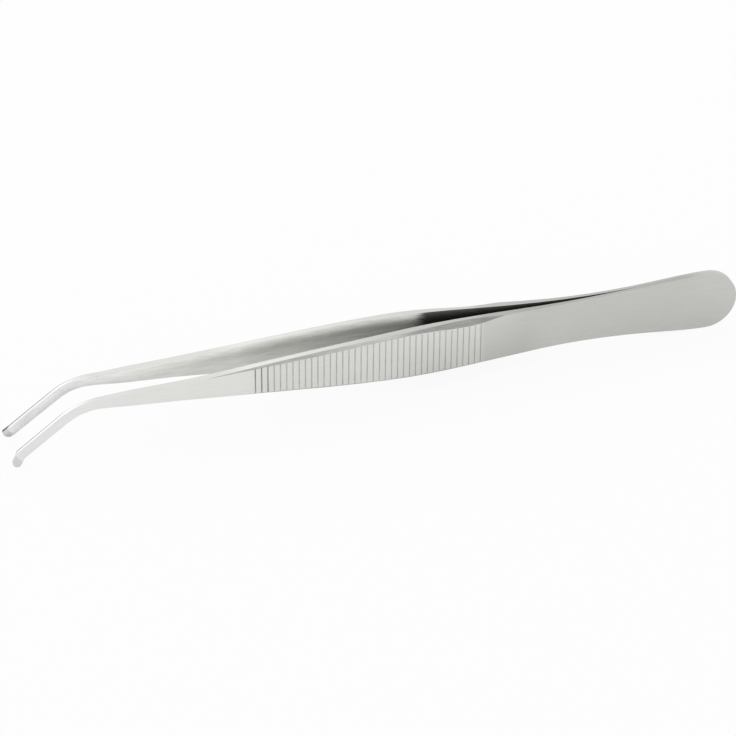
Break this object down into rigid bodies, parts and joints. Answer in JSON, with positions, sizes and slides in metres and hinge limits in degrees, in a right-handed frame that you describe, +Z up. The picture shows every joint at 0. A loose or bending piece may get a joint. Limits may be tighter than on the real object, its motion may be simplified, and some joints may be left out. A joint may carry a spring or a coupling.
{
  "type": "assembly tweezers",
  "caption": "Stainless steel assembly tweezers with long spring arms welded at a rounded tail, finely serrated grips and narrow tips bent down at an angle.",
  "frame": {"origin": "centre of the bounding box at the surface that the tweezers lie on", "axes": "+X from the tips to the tail, +Y square to the broad sides of the arms (the direction in which they open), +Z up"},
  "size_m": [0.1506, 0.0116, 0.0138],
  "materials": {
    "steel": "fine satin ground stainless steel"
  },
  "bodies": {
    "root": {"near_arm": "steel", "far_arm": "steel"}
  },
  "joints": []
}
